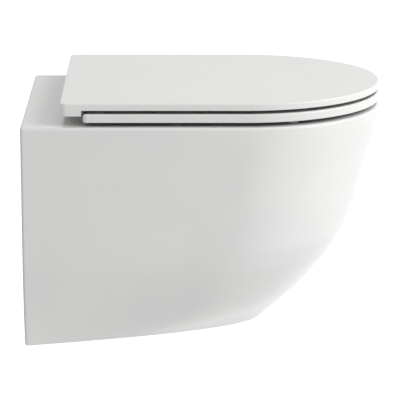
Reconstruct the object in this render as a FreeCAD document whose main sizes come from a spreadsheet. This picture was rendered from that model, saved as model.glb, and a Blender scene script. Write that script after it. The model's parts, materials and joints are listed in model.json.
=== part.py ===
import FreeCAD, Part
import math
import os
import Sketcher
from FreeCAD import Placement, Rotation, Vector

# Wall hung toilet with a soft-close seat and lid on lift-off hinges.
# Frame: the wall is the plane y = 0 and the toilet hangs on its -Y side, up is +Z,
# x = 0 is the middle. The origin lies midway between the two fixing rods.

doc = FreeCAD.newDocument("wall_hung_toilet")
os.makedirs("parts", exist_ok=True)

# ---------------------------------------------------------------- sizes (mm, degrees)
SIZES = [
    # ceramic shell
    ("deck_height", 80.0, "ceramic top above the fixing rods"),
    ("pan_width", 360.0, "overall width"),
    ("pan_length", 530.0, "wall to front tip at the deck"),
    ("pan_height", 339.0, "deck to underside"),
    ("front_round", 203.0, "rounded front along the pan"),
    ("ridge_depth", 188.0, "deck to the ridge between skirt and underside, at the front"),
    ("ridge_rise", 5.0, "how much higher the ridge is along the sides"),
    ("ridge_softness", 3.0, "rounding of the ridge"),
    ("ridge_setback", 51.0, "front tip at the deck to front tip at the ridge"),
    ("skirt_bulge", 4.5, "outward bulge of the skirt front at half depth"),
    ("ridge_round", 179.0, "rounded front along the pan at the ridge"),
    ("under_slope", 0.51, "run per depth of the underside just below the ridge"),
    ("under_curl", 0.0023, "growth of that run with depth"),
    ("foot_width", 314.0, "underside at the wall"),
    ("foot_taper", 1.08, "how wedge-like the underside is"),
    ("side_radius", 250.0, "how late the sides curve inwards below the ridge"),
    ("shell_thickness", 11.0, "skirt wall"),
    ("deck_thickness", 14.0, "ceramic deck"),
    ("top_edge_radius", 4.0, "rounding of the deck edge"),
    ("foot_edge_radius", 6.0, "rounding of the foot edge"),
    ("wall_edge_radius", 3.5, "rounding of the edge at the wall"),
    # bowl and trap
    ("bowl_width", 264.0, "bowl opening"),
    ("front_rim", 43.0, "bowl opening to the front tip"),
    ("bowl_rear", 150.0, "wall to the rear of the bowl opening"),
    ("bowl_wall", 9.0, "ceramic around bowl, trap and channels"),
    ("rim_radius", 7.0, "rounding of the bowl rim"),
    ("bowl_middle", 325.0, "wall to the widest place of the bowl opening"),
    ("sump_depth", 290.0, "deck to the floor of the sump"),
    ("sump_width", 68.0, "floor of the sump"),
    ("sump_rear", 248.0, "wall to the rear of the sump floor"),
    ("sump_front", 322.0, "wall to the front of the sump floor"),
    ("sump_middle", 284.0, "wall to the widest place of the sump floor"),
    ("trap_radius", 27.0, "half the waterway of the trap"),
    ("trap_lift", 2.0, "sump floor to the bottom of the trap"),
    ("trap_overlap", 5.0, "end of the trap inside the waste outlet"),
    ("trap_bend", 50.0, "bend radius of the trap"),
    ("crest_depth", 159.0, "deck to the middle of the trap crest"),
    ("crest_end", 125.0, "wall to the end of the crest bend"),
    # wall connections
    ("rod_pitch", 180.0, "between the fixing rods"),
    ("rod_hole_radius", 10.0, "hole in the bulkhead"),
    ("bulkhead_back", 50.0, "wall to the back of the bulkhead"),
    ("bulkhead_thickness", 14.0, "bulkhead"),
    ("inlet_depth", 45.0, "deck to the flush inlet"),
    ("inlet_radius", 27.5, "bore of the flush inlet"),
    ("inlet_boss_radius", 36.5, "outside of the flush inlet"),
    ("channel_radius", 21.0, "flush channel into the bowl"),
    ("channel_reach", 25.0, "flush channel past the rear of the bowl opening"),
    ("spigot_depth", 180.0, "deck to the waste outlet"),
    ("spigot_radius", 51.0, "outside of the waste spigot"),
    ("spigot_bore_radius", 44.0, "inside of the waste spigot"),
    ("spigot_length", 100.0, "wall to the inner end of the waste outlet"),
    ("spigot_seat", 12.0, "waste spigot past its bore"),
    ("spigot_gap", 4.0, "wall to the end of the waste spigot"),
    ("inlet_gap", 12.0, "wall to the end of the flush inlet"),
    ("hand_inner", 62.0, "inner side of the hand openings"),
    ("hand_outer", 102.0, "outer side of the hand openings"),
    ("hand_back", 75.0, "wall to the hand openings"),
    ("hand_front", 162.0, "wall to the far end of the hand openings"),
    ("hand_corner_radius", 12.0, "corners of the hand openings"),
    ("pipe_radius", 22.6, "lip of the flush inlet seal"),
    ("seal_length", 38.0, "wall to the inner end of the flush inlet seal"),
    ("seal_lip", 9.0, "length of its lip on the pipe"),
    ("seal_taper", 3.0, "length of the taper behind that lip"),
    ("seal_wall", 2.5, "its wall"),
    ("seal_flange", 3.4, "its flange beyond the bore"),
    ("seal_flange_thickness", 3.0, "its flange"),
    ("seal_gap", 0.3, "around it in the flush inlet"),
    ("rod_bore_radius", 6.5, "bore of the rod sleeves"),
    ("rod_nut_radius", 6.0, "bore of the rod nuts"),
    ("rod_nut_flats", 19.0, "across flats"),
    ("rod_nut_height", 10.0, "rod nuts"),
    ("sleeve_tube_radius", 8.5, "rod sleeves between the wall and the bulkhead"),
    ("sleeve_gap", 0.1, "around the rod sleeves in the bulkhead"),
    ("sleeve_flange_radius", 15.0, "flange of the rod sleeves"),
    ("sleeve_flange_thickness", 3.0, "flange of the rod sleeves"),
    ("washer_radius", 14.5, "rod washers"),
    ("washer_thickness", 2.5, "rod washers"),
    # seat hinge
    ("hinge_pitch", 155.0, "between the seat holes"),
    ("stud_setback", 79.0, "wall to the seat holes"),
    ("axis_setback", 73.5, "wall to the hinge axis"),
    ("axis_height", 24.5, "deck to the hinge axis"),
    ("seat_hole_radius", 8.0, "hole in the deck"),
    ("stud_radius", 3.5, "hinge stud"),
    ("stud_neck_radius", 2.2, "groove of the hinge stud"),
    ("stud_height", 27.5, "deck to the top of the stud"),
    ("groove_height", 23.6, "deck to the groove of the stud"),
    ("groove_width", 1.4, "groove of the hinge stud"),
    ("shank_radius", 4.0, "thread of the stud"),
    ("shank_length", 43.0, "stud below the deck"),
    ("plug_length", 32.0, "expanding plug below the deck"),
    ("plug_bulge", 2.0, "expanding plug beyond its hole, under the deck"),
    ("plug_taper", 3.0, "either end of that bulge"),
    ("plug_nut_flats", 13.0, "across flats of the captive nuts"),
    ("plug_nut_height", 6.5, "captive nuts"),
    ("gasket_thickness", 1.0, "gasket under the cover plate"),
    ("rosette_radius", 18.0, "cover plate"),
    ("rosette_height", 3.0, "cover plate"),
    ("collar_radius", 7.0, "collar of the stud"),
    ("collar_thickness", 1.0, "collar of the stud"),
    ("block_width", 18.0, "hinge block"),
    ("block_front", 15.0, "hinge axis to the front of the block"),
    ("block_back", 4.6, "hinge axis to the back of the block"),
    ("block_bevel", 1.5, "upper front edge of the block"),
    ("block_head_radius", 6.2, "rounded head of the block and the seat arms"),
    ("pin_radius", 2.5, "hinge pins and damper shafts"),
    ("square_side", 3.6, "square end of the damper shafts"),
    ("damper_radius", 4.5, "damper barrels and bushes"),
    ("pin_depth", 3.8, "pin end inside the block"),
    ("running_gap", 0.05, "radial clearance of turning and sliding fits"),
    ("end_play", 0.5, "beyond the end of a piece in a blind hole"),
    ("bevel", 0.6, "small edges of studs and bumpers"),
    ("bush_length", 15.0, "bushes and plain pins beside the blocks"),
    ("shaft_length", 10.0, "damper shafts beside the blocks"),
    ("barrel_length", 28.0, "damper barrels"),
    ("barrel_play", 0.2, "beside the damper barrels and bushes"),
    ("clip_wire_radius", 0.5, "latch clip wire"),
    ("clip_leg", 4.9, "stud axis to the ends of the latch clip"),
    ("clip_spread", 1.05, "how far a pressed button opens each leg of the clip"),
    ("clip_room", 1.75, "beside the clip for its opened legs"),
    ("clip_head_room", 0.6, "above and below the clip"),
    ("button_width", 12.0, "release button"),
    ("button_height", 7.0, "release button"),
    ("button_travel", 2.0, "release button"),
    ("button_proud", 0.5, "release button in front of the block"),
    ("button_play", 0.1, "around the release button"),
    ("button_flange", 1.0, "retaining flange of the button"),
    ("button_lip", 1.3, "block wall in front of that flange"),
    # seat and lid
    ("cover_width", 347.0, "seat and lid"),
    ("cover_setback", 1.0, "front tip of the pan to the front of seat and lid"),
    ("seat_bottom", 6.0, "deck to the seat"),
    ("seat_top", 19.0, "deck to the top of the seat"),
    ("seat_rear", 90.0, "wall to the rear of the seat"),
    ("seat_hole_width", 224.0, "seat opening"),
    ("seat_front", 64.0, "seat in front of its opening"),
    ("seat_hole_rear", 165.0, "wall to the rear of the seat opening"),
    ("seat_corner_radius", 6.0, "rear corners of the seat"),
    ("seat_top_radius", 3.0, "outer top edge of the seat"),
    ("seat_low_radius", 1.5, "outer lower edge of the seat"),
    ("seat_inner_radius", 4.5, "top edge of the seat opening"),
    ("arm_overlap", 7.5, "seat arms inside the ring"),
    ("arm_rise", 3.5, "underside of the seat to the underside of its arms"),
    ("lid_bottom", 24.0, "deck to the lid skirt"),
    ("lid_top", 34.4, "deck to the top of the lid"),
    ("lid_rear", 56.7, "wall to the rear of the lid"),
    ("lid_drop_bottom", 16.0, "deck to the underside of the rear part of the lid"),
    ("lid_drop_front", 88.0, "wall to the front of the rear part of the lid"),
    ("lid_skin", 3.4, "top of the lid"),
    ("lid_skirt", 12.0, "edge of the lid"),
    ("lid_rear_wall", 3.6, "rear wall of the lid"),
    ("lid_front_wall", 4.0, "front wall of the lid's rear part"),
    ("lid_corner_radius", 9.0, "rear corners of the lid"),
    ("lid_edge_radius", 2.5, "top edge of the lid"),
    ("rib_width", 6.0, "ribs of the lid's rear part beside the seat arms"),
    ("core_width", 56.0, "hollow in the middle of the lid's rear part"),
    ("arm_width", 31.0, "seat arms beside the blocks"),
    ("side_gap", 1.0, "between block, arms and lid along the axis"),
    ("seat_bumper_radius", 9.0, "seat bumpers"),
    ("lid_bumper_radius", 6.0, "lid bumpers"),
    ("boss_bottom", 25.0, "deck to the bosses of the lid bumpers"),
    ("stem_length", 4.0, "bumper stems"),
    ("seat_stem_radius", 3.0, "stems of the seat bumpers"),
    ("lid_stem_radius", 2.5, "stems of the lid bumpers"),
    ("seat_bumper_inset", 32.5, "side of the seat to its bumpers"),
    ("lid_bumper_inset", 37.5, "side of the lid to its bumpers"),
    ("seat_bumper_run", 170.0, "rear to front bumpers of the seat"),
    ("lid_bumper_run", 160.0, "rear to front bumpers of the lid"),
    ("bumper_middle", 310.0, "wall to the middle between the bumpers"),
]

sheet = doc.addObject("Spreadsheet::Sheet", "Sizes")
for row, (alias, value, note) in enumerate(SIZES, start=1):
    sheet.set("A%d" % row, str(value))
    sheet.setAlias("A%d" % row, alias)
    sheet.set("B%d" % row, note)
doc.recompute()


class Size:
    """A size with its value and the sheet expression that drives it."""

    def __init__(self, value, text):
        self.value = float(value)
        self.text = text

    @staticmethod
    def of(item):
        """The item as a Size, plain numbers included."""
        return item if isinstance(item, Size) else Size(item, "(%.6f)" % item)

    def _joined(self, sign, other, value):
        return Size(value, "(%s %s %s)" % (self.text, sign, other.text))

    def __add__(self, other):
        other = Size.of(other)
        return self._joined("+", other, self.value + other.value)

    def __sub__(self, other):
        other = Size.of(other)
        return self._joined("-", other, self.value - other.value)

    def __mul__(self, other):
        other = Size.of(other)
        return self._joined("*", other, self.value * other.value)

    def __truediv__(self, other):
        other = Size.of(other)
        return self._joined("/", other, self.value / other.value)

    def __radd__(self, other):
        return Size.of(other) + self

    def __rsub__(self, other):
        return Size.of(other) - self

    def __rmul__(self, other):
        return Size.of(other) * self

    def __neg__(self):
        return Size.of(0) - self


class Dimensions:
    """The sheet cells as attributes: dim.name is a Size, num.name a number."""


dim = Dimensions()
num = Dimensions()
for alias, value, note in SIZES:
    setattr(dim, alias, Size(value, "Sizes." + alias))
    setattr(num, alias, value)

ZERO = Size(0, "0")


def level(height):
    """World z of a height above the deck."""
    return dim.deck_height + height


# ---------------------------------------------------------------- sketch helpers
PLANE_ORDER = {
    "XY_Plane": lambda x, y, z: (x, y, z),
    "XZ_Plane": lambda x, y, z: (x, z, -y),
    "YZ_Plane": lambda x, y, z: (y, z, x),
}


def new_body(label):
    """An empty body that may hold several solids."""
    body = doc.addObject("PartDesign::Body", label)
    body.Label = label
    body.AllowCompound = True
    return body


def sketch_on(body, role, centre):
    """A sketch parallel to an origin plane with its own origin at the centre."""
    sketch = body.newObject("Sketcher::SketchObject", body.Name + "_sketch")
    support = [item for item in body.Origin.OriginFeatures if item.Role == role][0]
    sketch.AttachmentSupport = [(support, "")]
    sketch.MapMode = "FlatFace"
    local = PLANE_ORDER[role](*[Size.of(part) for part in centre])
    sketch.AttachmentOffset = Placement(Vector(*[part.value for part in local]), Rotation())
    for axis, part in zip("xyz", local):
        sketch.setExpression("AttachmentOffset.Base." + axis, part.text)
    return sketch


def pin_point(sketch, geometry, position, point):
    """Hold a point of the sketch at two driven distances from its origin."""
    for kind, axis, size in (("DistanceX", -2, point[0]), ("DistanceY", -1, point[1])):
        size = Size.of(size)
        if abs(size.value) < 1e-9:
            sketch.addConstraint(Sketcher.Constraint("PointOnObject", geometry, position, axis))
            continue
        if size.value > 0:
            ends, size = (-1, 1, geometry, position), size
        else:
            ends, size = (geometry, position, -1, 1), -size
        index = sketch.addConstraint(Sketcher.Constraint(kind, *ends, size.value))
        sketch.setExpression("Constraints[%d]" % index, size.text)


def polygon(sketch, points):
    """A closed outline of straight lines."""
    points = [(Size.of(u), Size.of(v)) for u, v in points]
    spots = [Vector(u.value, v.value, 0) for u, v in points]
    base = sketch.GeometryCount
    for start, end in zip(spots, spots[1:] + spots[:1]):
        sketch.addGeometry(Part.LineSegment(start, end), False)
    count = len(points)
    for step in range(count):
        following = base + (step + 1) % count
        sketch.addConstraint(Sketcher.Constraint("Coincident", base + step, 2, following, 1))
    for step, point in enumerate(points):
        pin_point(sketch, base + step, 1, point)


def rectangle(sketch, left, bottom, right, top):
    """A closed upright rectangle."""
    polygon(sketch, [(left, bottom), (right, bottom), (right, top), (left, top)])


def circle(sketch, u, v, radius):
    """A full circle."""
    u, v, radius = Size.of(u), Size.of(v), Size.of(radius)
    shape = Part.Circle(Vector(u.value, v.value, 0), Vector(0, 0, 1), radius.value)
    index = sketch.addGeometry(shape, False)
    pin_point(sketch, index, 3, (u, v))
    held = sketch.addConstraint(Sketcher.Constraint("Radius", index, radius.value))
    sketch.setExpression("Constraints[%d]" % held, radius.text)


def raised(body, kind, sketch, length, reverse=False):
    """A pad or a pocket of the sketch."""
    length = Size.of(length)
    feature = body.newObject("PartDesign::" + kind, body.Name + "_" + kind.lower())
    feature.Profile = sketch
    feature.Length = length.value
    feature.setExpression("Length", length.text)
    feature.Reversed = reverse
    return feature


def turned(label, profile, centres, axis="Z"):
    """Turned pieces: a (radius, along) outline around each centre."""
    body = new_body(label)
    add_turned(body, profile, centres, axis)
    return body


def add_turned(body, profile, centres, axis="Z", kind="Revolution"):
    """A turned feature (or a turned cut) around each centre of a body."""
    for centre in centres:
        sketch = sketch_on(body, "XZ_Plane" if axis == "Z" else "XY_Plane", centre)
        if axis == "X":
            polygon(sketch, [(along, radius) for radius, along in profile])
        else:
            polygon(sketch, profile)
        feature = body.newObject("PartDesign::" + kind, body.Name + "_turn")
        feature.Profile = sketch
        feature.ReferenceAxis = (sketch, ["H_Axis" if axis == "X" else "V_Axis"])
        feature.Angle = 360.0


def ring(inner, outer, low, high):
    """Outline of a plain ring or tube."""
    return [(inner, low), (outer, low), (outer, high), (inner, high)]


def rod(radius, low, high, chamfer=0.4):
    """Outline of a plain rod with chamfered ends."""
    return [
        (0, low),
        (radius - chamfer, low),
        (radius, low + chamfer),
        (radius, high - chamfer),
        (radius - chamfer, high),
        (0, high),
    ]


# ---------------------------------------------------------------- shape helpers
def coded(label, shape):
    """A free-form ceramic or moulded piece, shaped from the sheet values."""
    item = doc.addObject("Part::Feature", label)
    item.Label = label
    item.Shape = shape
    item.Placement = Placement(Vector(0, 0, 0), Rotation())
    return item


def box(x0, x1, y0, y1, z0, z1):
    """An axis-aligned block between corners, any order."""
    low = Vector(min(x0, x1), min(y0, y1), min(z0, z1))
    return Part.makeBox(abs(x1 - x0), abs(y1 - y0), abs(z1 - z0), low)


def both_sides(shape):
    """A shape and its mirror image across the middle plane."""
    return [shape, shape.mirror(Vector(0, 0, 0), Vector(1, 0, 0))]


def along_y(radius, x, y0, y1, z):
    """A cylinder parallel to Y."""
    return Part.makeCylinder(radius, abs(y1 - y0), Vector(x, min(y0, y1), z), Vector(0, 1, 0))


def along_x(radius, x0, x1, y, z):
    """A cylinder parallel to X."""
    return Part.makeCylinder(radius, abs(x1 - x0), Vector(min(x0, x1), y, z), Vector(1, 0, 0))


def rounded(shape, radius, chosen):
    """Fillet the edges picked by a test."""
    return shape.makeFillet(radius, [edge for edge in shape.Edges if chosen(edge)])


def flat_at(edge, z):
    """True for an edge that lies in a level plane."""
    extent = edge.BoundBox
    return abs(extent.ZMin - z) < 0.02 and abs(extent.ZMax - z) < 0.02


FRONT_START = num.pan_length - num.front_round
COVER_LENGTH = num.pan_length - num.cover_setback


def cover_plate(half_width, rear, front, z0, z1):
    """A D-shaped plate: straight sides and a half-elliptical front."""
    start = FRONT_START
    middle = Vector(0, -start, z0)
    oval = Part.Ellipse(Vector(0, -front, z0), Vector(half_width, -start, z0), middle)
    if front - start < half_width:
        oval = Part.Ellipse(Vector(half_width, -start, z0), Vector(0, -front, z0), middle)
    plate = Part.Face(Part.Wire(oval.toShape())).extrude(Vector(0, 0, z1 - z0))
    half = box(-half_width - 1, half_width + 1, -start, -front - 1, z0 - 1, z1 + 1)
    straight = box(-half_width, half_width, -rear, -start, z0, z1)
    return plate.common(half).fuse(straight).removeSplitter()


# ---------------------------------------------------------------- ceramic pan
DECK = num.deck_height
HALF_PAN = num.pan_width / 2
RIDGE_LENGTH = num.pan_length - num.ridge_setback
RIDGE_START = RIDGE_LENGTH - num.ridge_round
BOWL_FRONT = num.pan_length - num.front_rim
OUTLINE_STEPS = 26


def evenly_spaced(points, steps):
    """Points at equal distances along an open run of plane points."""
    travelled = [0.0]
    for first, second in zip(points, points[1:]):
        travelled.append(travelled[-1] + math.dist(first, second))
    chosen = []
    index = 0
    for step in range(steps + 1):
        target = travelled[-1] * step / steps
        while index < len(points) - 2 and travelled[index + 1] < target:
            index += 1
        part = (target - travelled[index]) / (travelled[index + 1] - travelled[index])
        (x0, y0), (x1, y1) = points[index], points[index + 1]
        chosen.append((x0 + (x1 - x0) * part, y0 + (y1 - y0) * part))
    return chosen


def ridge_outline(half_width, start, tip, back):
    """Half of a D: straight from the back to the start, then a quarter of an ellipse."""
    side = [(half_width, back + (start - back) * part / 100) for part in range(100)]
    for step in range(301):
        turn = math.pi / 2 * step / 300
        side.append((half_width * max(math.cos(turn), 0.0), start + (tip - start) * math.sin(turn)))
    return evenly_spaced(side, OUTLINE_STEPS)


def foot_outline(half_width, tip, back):
    """Half of a rounded wedge that is widest at the back."""
    first = back / tip
    side = []
    for step in range(401):
        place = 1 - (1 - first) * (1 - step / 400) ** 2
        width = 1 - num.foot_taper * place - (1 - num.foot_taper) * place**2
        side.append((half_width * math.sqrt(max(width, 0.0)), tip * place))
    return evenly_spaced(side, OUTLINE_STEPS)


def section_wire(half, z):
    """Closed section of the shell from one half outline, straight at the back."""
    points = [Vector(x, -y, z) for x, y in half]
    points[-1] = Vector(0, points[-1].y, z)
    points += [Vector(-point.x, point.y, z) for point in reversed(points[:-1])]
    curve = Part.BSplineCurve()
    curve.interpolate(Points=points, Parameters=list(range(len(points))))
    closing = Part.LineSegment(points[-1], points[0])
    return Part.Wire([curve.toShape(), closing.toShape()])


def beyond_ridge(depth, ridge):
    """Depth below the ridge, with a soft start instead of a sudden one."""
    soft = num.ridge_softness
    return soft * math.log1p(math.exp((depth - ridge) / soft))


def section(depth, inset, back):
    """One section of the shell: the skirt's D passes into the foot below the ridge."""
    whole = num.pan_height - num.ridge_depth
    shrink = num.under_slope * whole + num.under_curl * whole**2
    tuck = num.side_radius - math.sqrt(num.side_radius**2 - whole**2)
    part = (depth - beyond_ridge(depth, num.ridge_depth)) / num.ridge_depth
    tip = num.pan_length - num.ridge_setback * part - inset
    tip += num.skirt_bulge * 4 * part * (1 - part)
    start = FRONT_START + (RIDGE_START - FRONT_START) * part
    skirt = ridge_outline(HALF_PAN - inset, start, tip, back)
    foot = foot_outline(num.foot_width / 2 - inset, RIDGE_LENGTH - shrink - inset, back)
    half = []
    for (x0, y0), (x1, y1) in zip(skirt, foot):
        ridge = num.ridge_depth - num.ridge_rise * (1 - (y0 / tip) ** 2)
        below = beyond_ridge(depth, ridge) * whole / (num.pan_height - ridge)
        inward = (num.side_radius - math.sqrt(num.side_radius**2 - below**2)) / tuck
        backward = (num.under_slope * below + num.under_curl * below**2) / shrink
        half.append((x0 + (x1 - x0) * inward, y0 + (y1 - y0) * backward))
    return section_wire(half, DECK - depth)


def spaced(first, last, steps):
    """Depths at equal steps, without the last."""
    return [first + (last - first) * step / steps for step in range(steps)]


def shell(inset, top, bottom, back):
    """The pan's outer form, or the same form drawn in by an inset."""
    margin = 4 * num.ridge_softness
    near = num.ridge_depth - num.ridge_rise - margin
    far = num.ridge_depth + margin
    depths = spaced(top, near, 3) + spaced(near, far, 4) + spaced(far, bottom, 4) + [bottom]
    return Part.makeLoft([section(depth, inset, back) for depth in depths], True, False)


def oval_wire(half_width, rear, front, centre, z):
    """A closed oval whose rear and front halves have their own length."""
    points = []
    steps = 20
    for step in range(steps):
        turn = 2 * math.pi * step / steps
        reach = front - centre if math.sin(turn) > 0 else centre - rear
        points.append(Vector(half_width * math.cos(turn), -centre - reach * math.sin(turn), z))
    curve = Part.BSplineCurve()
    curve.interpolate(Points=points, PeriodicFlag=True)
    return Part.Wire(curve.toShape())


def narrowing(share):
    """How far the bowl has closed in on the sump at a share of its depth, 0 to 1."""
    late = share**1.3
    return late * late * (3 - 2 * late)


def bowl(grow, lift):
    """The hollow of the bowl and sump, or its outside when grown by the wall."""
    steps = 7
    wires = []
    for step in range(steps + 1):
        share = step / steps
        part = narrowing(share)
        width = num.bowl_width + (num.sump_width - num.bowl_width) * part
        rear = num.bowl_rear + (num.sump_rear - num.bowl_rear) * part
        front = BOWL_FRONT + (num.sump_front - BOWL_FRONT) * part
        middle = num.bowl_middle + (num.sump_middle - num.bowl_middle) * part
        depth = (num.sump_depth + grow + lift) * share - lift
        wires.append(oval_wire(width / 2 + grow, rear - grow, front + grow, middle, DECK - depth))
    return Part.makeLoft(wires, True, False)


def trap_path():
    """Middle line of the trap in the plane x = 0: down, round, up, over and out."""
    bend = num.trap_bend
    steep = math.radians(65)
    low = DECK - num.sump_depth + num.trap_lift + num.trap_radius
    high = DECK - num.crest_depth
    rise = high - low - 2 * bend * (1 - math.cos(steep))
    run = rise / math.tan(steep)
    y1 = -num.crest_end - 2 * bend * math.sin(steep) - run
    half = steep / 2

    def on_bend(centre_y, centre_z, angle):
        return Vector(0, centre_y + bend * math.cos(angle), centre_z + bend * math.sin(angle))

    down = -math.pi / 2
    first = [on_bend(y1, low + bend, down + part) for part in (0, half, steep)]
    up = math.pi / 2 + steep
    y2 = -num.crest_end
    second = [on_bend(y2, high - bend, up - part) for part in (0, half, steep)]
    start = Vector(0, -num.sump_middle, low)
    end = Vector(0, num.trap_overlap - num.spigot_length, high)
    return Part.Wire(
        [
            Part.LineSegment(start, first[0]).toShape(),
            Part.Arc(*first).toShape(),
            Part.LineSegment(first[2], second[0]).toShape(),
            Part.Arc(*second).toShape(),
            Part.LineSegment(second[2], end).toShape(),
        ]
    )


def trap_tube(radius):
    """A round tube along the trap path."""
    path = trap_path()
    start = path.Vertexes[0].Point
    profile = Part.Wire(Part.makeCircle(radius, start, Vector(0, 1, 0)))
    return path.makePipeShell([profile], True, False)


def in_front_of(y):
    """A block around the whole pan that ends at a distance from the wall."""
    side = num.pan_width
    return box(-side, side, y, -num.pan_length - side, DECK - num.pan_height - side, DECK + side)


def ceramic_pan():
    """The fired piece with all its hollows."""
    beyond = 20.0
    outer = shell(0, 0, num.pan_height, -beyond)
    foot = DECK - num.pan_height
    outer = outer.common(in_front_of(0))

    def around(edge, z):
        return flat_at(edge, z) and edge.BoundBox.YMin < -1

    outer = rounded(outer, num.top_edge_radius, lambda edge: around(edge, DECK))
    outer = rounded(outer, num.foot_edge_radius, lambda edge: around(edge, foot))
    outer = rounded(outer, num.wall_edge_radius, lambda edge: edge.BoundBox.YMin > -0.01)

    wall = num.shell_thickness
    inside = shell(wall, num.deck_thickness, num.pan_height - wall, -beyond)
    inside = inside.common(in_front_of(1))
    front_face = -num.bulkhead_back - num.bulkhead_thickness
    inlet_z = DECK - num.inlet_depth
    spigot_z = DECK - num.spigot_depth
    channel_end = -num.bowl_rear - num.channel_reach
    spigot_end = -num.spigot_length - num.spigot_seat
    kept = [
        bowl(num.bowl_wall, 0),
        trap_tube(num.trap_radius + num.bowl_wall),
        box(-num.pan_width, num.pan_width, -num.bulkhead_back, front_face, foot - 1, DECK + 1),
        along_y(num.inlet_boss_radius, 0, -num.inlet_gap, front_face, inlet_z),
        along_y(num.channel_radius + num.bowl_wall, 0, front_face, channel_end, inlet_z),
        along_y(num.spigot_radius, 0, -num.spigot_gap, spigot_end, spigot_z),
    ]
    for piece in kept:
        inside = inside.cut(piece)

    inlet_step = -num.bulkhead_back
    waterways = [
        bowl(0, 1),
        trap_tube(num.trap_radius),
        along_y(num.inlet_radius, 0, 1, inlet_step, inlet_z),
        along_y(num.channel_radius, 0, inlet_step, channel_end, inlet_z),
        along_y(num.spigot_bore_radius, 0, 1, -num.spigot_length, spigot_z),
    ]
    holes = []
    for side in (-1, 1):
        rod_x = side * num.rod_pitch / 2
        seat_x = side * num.hinge_pitch / 2
        holes.append(along_y(num.rod_hole_radius, rod_x, -1, front_face - 1, 0))
        holes.append(
            Part.makeCylinder(
                num.seat_hole_radius,
                num.deck_thickness + 2,
                Vector(seat_x, -num.stud_setback, DECK - num.deck_thickness - 1),
            )
        )
    hand_y = (-num.hand_back, -num.hand_front)
    hand = box(num.hand_inner, num.hand_outer, *hand_y, foot - 1, foot + wall + 1)
    hand = rounded(hand, num.hand_corner_radius, lambda edge: edge.BoundBox.ZLength > wall)
    holes += both_sides(hand)

    shape = outer.cut(inside)
    for piece in waterways + holes:
        shape = shape.cut(piece)
    if len(shape.Solids) != 1:
        raise ValueError("the pan must stay one solid")
    shape = shape.Solids[0]

    def at_rim(edge):
        extent = edge.BoundBox
        wide = extent.XLength > num.bowl_width / 4
        return flat_at(edge, DECK) and extent.YMax < -num.bowl_rear + 2 and wide

    return rounded(shape, num.rim_radius, at_rim)


pan = coded("ceramic_pan", ceramic_pan())

# ---------------------------------------------------------------- wall connections
inlet_spot = (ZERO, ZERO, level(-dim.inlet_depth))
seal_outer = dim.inlet_radius - dim.seal_gap
seal_neck = dim.pipe_radius + dim.seal_wall
flange_back = dim.seal_flange_thickness - dim.inlet_gap
lip_end = -1 - dim.seal_lip
seal_profile = [
    (dim.pipe_radius, -1),
    (seal_neck, -1),
    (seal_neck, flange_back),
    (seal_outer + dim.seal_flange, flange_back),
    (seal_outer + dim.seal_flange, -dim.inlet_gap),
    (seal_outer, -dim.inlet_gap),
    (seal_outer, -dim.seal_length),
    (seal_outer - dim.seal_wall, -dim.seal_length),
    (seal_outer - dim.seal_wall, lip_end - dim.seal_taper),
    (dim.pipe_radius, lip_end),
]
turned("flush_inlet_seal", seal_profile, [inlet_spot], "Y")

rod_spots = [(side * dim.rod_pitch / 2, ZERO, ZERO) for side in (-1, 1)]
bulkhead_front = dim.bulkhead_back + dim.bulkhead_thickness
sleeve_flange = bulkhead_front + dim.sleeve_flange_thickness
sleeve_outer = dim.rod_hole_radius - dim.sleeve_gap
sleeve_profile = [
    (dim.rod_bore_radius, 0),
    (dim.sleeve_tube_radius, 0),
    (dim.sleeve_tube_radius, 1 - dim.bulkhead_back),
    (sleeve_outer, 1 - dim.bulkhead_back),
    (sleeve_outer, -bulkhead_front),
    (dim.sleeve_flange_radius, -bulkhead_front),
    (dim.sleeve_flange_radius, -sleeve_flange),
    (dim.rod_bore_radius, -sleeve_flange),
]
turned("wall_fixing_sleeves", sleeve_profile, rod_spots, "Y")
washer_front = sleeve_flange + dim.washer_thickness
washer_profile = ring(dim.rod_bore_radius, dim.washer_radius, -washer_front, -sleeve_flange)
turned("wall_fixing_washers", washer_profile, rod_spots, "Y")

HEX_TURNS = [math.radians(60 * corner) for corner in range(6)]


def hexagon_nut(body, role, spot, flats, bore, thickness):
    """A hexagon nut grown from the sketch plane along its normal."""
    sketch = sketch_on(body, role, spot)
    corner = flats / math.sqrt(3)
    polygon(sketch, [(corner * math.cos(turn), corner * math.sin(turn)) for turn in HEX_TURNS])
    circle(sketch, 0, 0, bore)
    raised(body, "Pad", sketch, thickness)


rod_nuts = new_body("wall_fixing_nuts")
for spot in rod_spots:
    nut_spot = (spot[0], -washer_front, ZERO)
    rod_nut = (dim.rod_nut_flats, dim.rod_nut_radius, dim.rod_nut_height)
    hexagon_nut(rod_nuts, "XZ_Plane", nut_spot, *rod_nut)

# ---------------------------------------------------------------- seat hinge base
SIDES = {"left": -1, "right": 1}


def stud_spot(side, height=0):
    """Place on a stud axis at a height above the deck."""
    return (side * dim.hinge_pitch / 2, -dim.stud_setback, level(height))


stud_spots = [stud_spot(side) for side in SIDES.values()]
groove_top = dim.groove_height + dim.groove_width
rosette_top = dim.gasket_thickness + dim.rosette_height
collar_top = rosette_top + dim.collar_thickness
stud_profile = [
    (0, -dim.shank_length),
    (dim.shank_radius - dim.bevel, -dim.shank_length),
    (dim.shank_radius, dim.bevel - dim.shank_length),
    (dim.shank_radius, rosette_top),
    (dim.collar_radius, rosette_top),
    (dim.collar_radius, collar_top),
    (dim.stud_radius, collar_top),
    (dim.stud_radius, dim.groove_height),
    (dim.stud_neck_radius, dim.groove_height),
    (dim.stud_neck_radius, groove_top),
    (dim.stud_radius, groove_top),
    (dim.stud_radius, dim.stud_height - 1),
    (dim.stud_radius - 1, dim.stud_height),
    (0, dim.stud_height),
]
for name, side in SIDES.items():
    turned("hinge_stud_" + name, stud_profile, [stud_spot(side)])

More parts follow.
